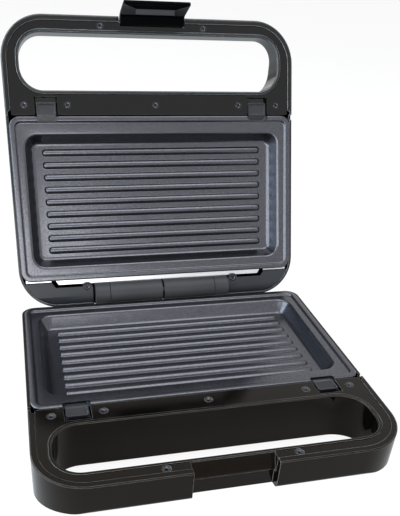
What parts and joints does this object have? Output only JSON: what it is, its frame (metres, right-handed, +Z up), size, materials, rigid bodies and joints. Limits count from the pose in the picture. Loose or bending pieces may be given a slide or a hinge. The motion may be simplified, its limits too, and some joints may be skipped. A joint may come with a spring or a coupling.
{
  "type": "sandwich toaster",
  "caption": "Open hinged sandwich toaster with ribbed non-stick plates, loop handles, closing latch and plate release clips.",
  "frame": {"origin": "on the table under the middle of the open toaster", "axes": "+Y from the handle of the base towards the hinge and the open lid, +X to the right seen from the handle, +Z up"},
  "size_m": [0.286, 0.3612, 0.3152],
  "materials": {
    "gloss_black": "gloss",
    "satin_black": "satin",
    "plate_coating": "satin non-stick coating",
    "bright_aluminium": "rolled, fine streaks",
    "element_steel": "dull tube",
    "hinge_grey": "matte",
    "dark_screw_steel": "blackened",
    "pin_steel": "satin",
    "foot_rubber": "matte",
    "gland_rubber": "matte",
    "clip_grey": "satin",
    "spring_steel": "bright",
    "deck_grey": "matte",
    "latch_black": "gloss",
    "lamp_red": "gloss",
    "lamp_green": "gloss",
    "ceramic": "matte"
  },
  "bodies": {
    "base": {"base_shell": "gloss_black", "base_frame": "satin_black", "base_frame_screws": "dark_screw_steel", "base_reflector": "bright_aluminium", "base_heater": "element_steel", "base_grill_plate": "plate_coating", "hinge_bracket": "hinge_grey", "hinge_screws": "dark_screw_steel", "hinge_pin": "pin_steel", "base_bottom_screws": "dark_screw_steel", "rubber_feet": "foot_rubber", "cord_gland": "gland_rubber", "thermostat": "ceramic", "terminal_block": "ceramic", "base_spring_left": "spring_steel", "base_spring_right": "spring_steel"},
    "lid": {"lid_shell": "gloss_black", "lid_frame": "satin_black", "lid_frame_screws": "dark_screw_steel", "lid_reflector": "bright_aluminium", "lid_heater": "element_steel", "lid_grill_plate": "plate_coating", "lid_rear_deck": "deck_grey", "lid_deck_screws": "dark_screw_steel", "lid_knuckles": "hinge_grey", "power_lamp": "lamp_red", "ready_lamp": "lamp_green", "thermal_fuse": "ceramic", "latch_pin": "pin_steel", "lid_spring_left": "spring_steel", "lid_spring_right": "spring_steel"},
    "latch": {"latch": "latch_black"},
    "base_clip_left": {"base_clip_left": "clip_grey"},
    "base_clip_right": {"base_clip_right": "clip_grey"},
    "lid_clip_left": {"lid_clip_left": "clip_grey"},
    "lid_clip_right": {"lid_clip_right": "clip_grey"}
  },
  "joints": [
    {"name": "lid_hinge", "type": "hinge", "parent": "base", "child": "lid", "pos_m": [0, 0.08037, 0.055], "axis": [1, 0, 0], "range_deg": [0, 111.2]},
    {"name": "latch_pivot", "type": "hinge", "parent": "lid", "child": "latch", "pos_m": [0, 0.17611, 0.29298], "axis": [1, 0, 0], "range_deg": [-50, 14.5]},
    {"name": "base_clip_left_slide", "type": "slide", "parent": "base", "child": "base_clip_left", "axis": [0, -1, 0], "range_m": [0, 0.0047], "stiffness_N_per_m": 600, "springref_m": -0.003, "deforming": ["base_spring_left"]},
    {"name": "base_clip_right_slide", "type": "slide", "parent": "base", "child": "base_clip_right", "axis": [0, -1, 0], "range_m": [0, 0.0047], "stiffness_N_per_m": 600, "springref_m": -0.003, "deforming": ["base_spring_right"]},
    {"name": "lid_clip_left_slide", "type": "slide", "parent": "lid", "child": "lid_clip_left", "axis": [0, 0.3616, 0.9323], "range_m": [0, 0.0047], "stiffness_N_per_m": 600, "springref_m": -0.003, "deforming": ["lid_spring_left"]},
    {"name": "lid_clip_right_slide", "type": "slide", "parent": "lid", "child": "lid_clip_right", "axis": [0, 0.3616, 0.9323], "range_m": [0, 0.0047], "stiffness_N_per_m": 600, "springref_m": -0.003, "deforming": ["lid_spring_right"]}
  ]
}
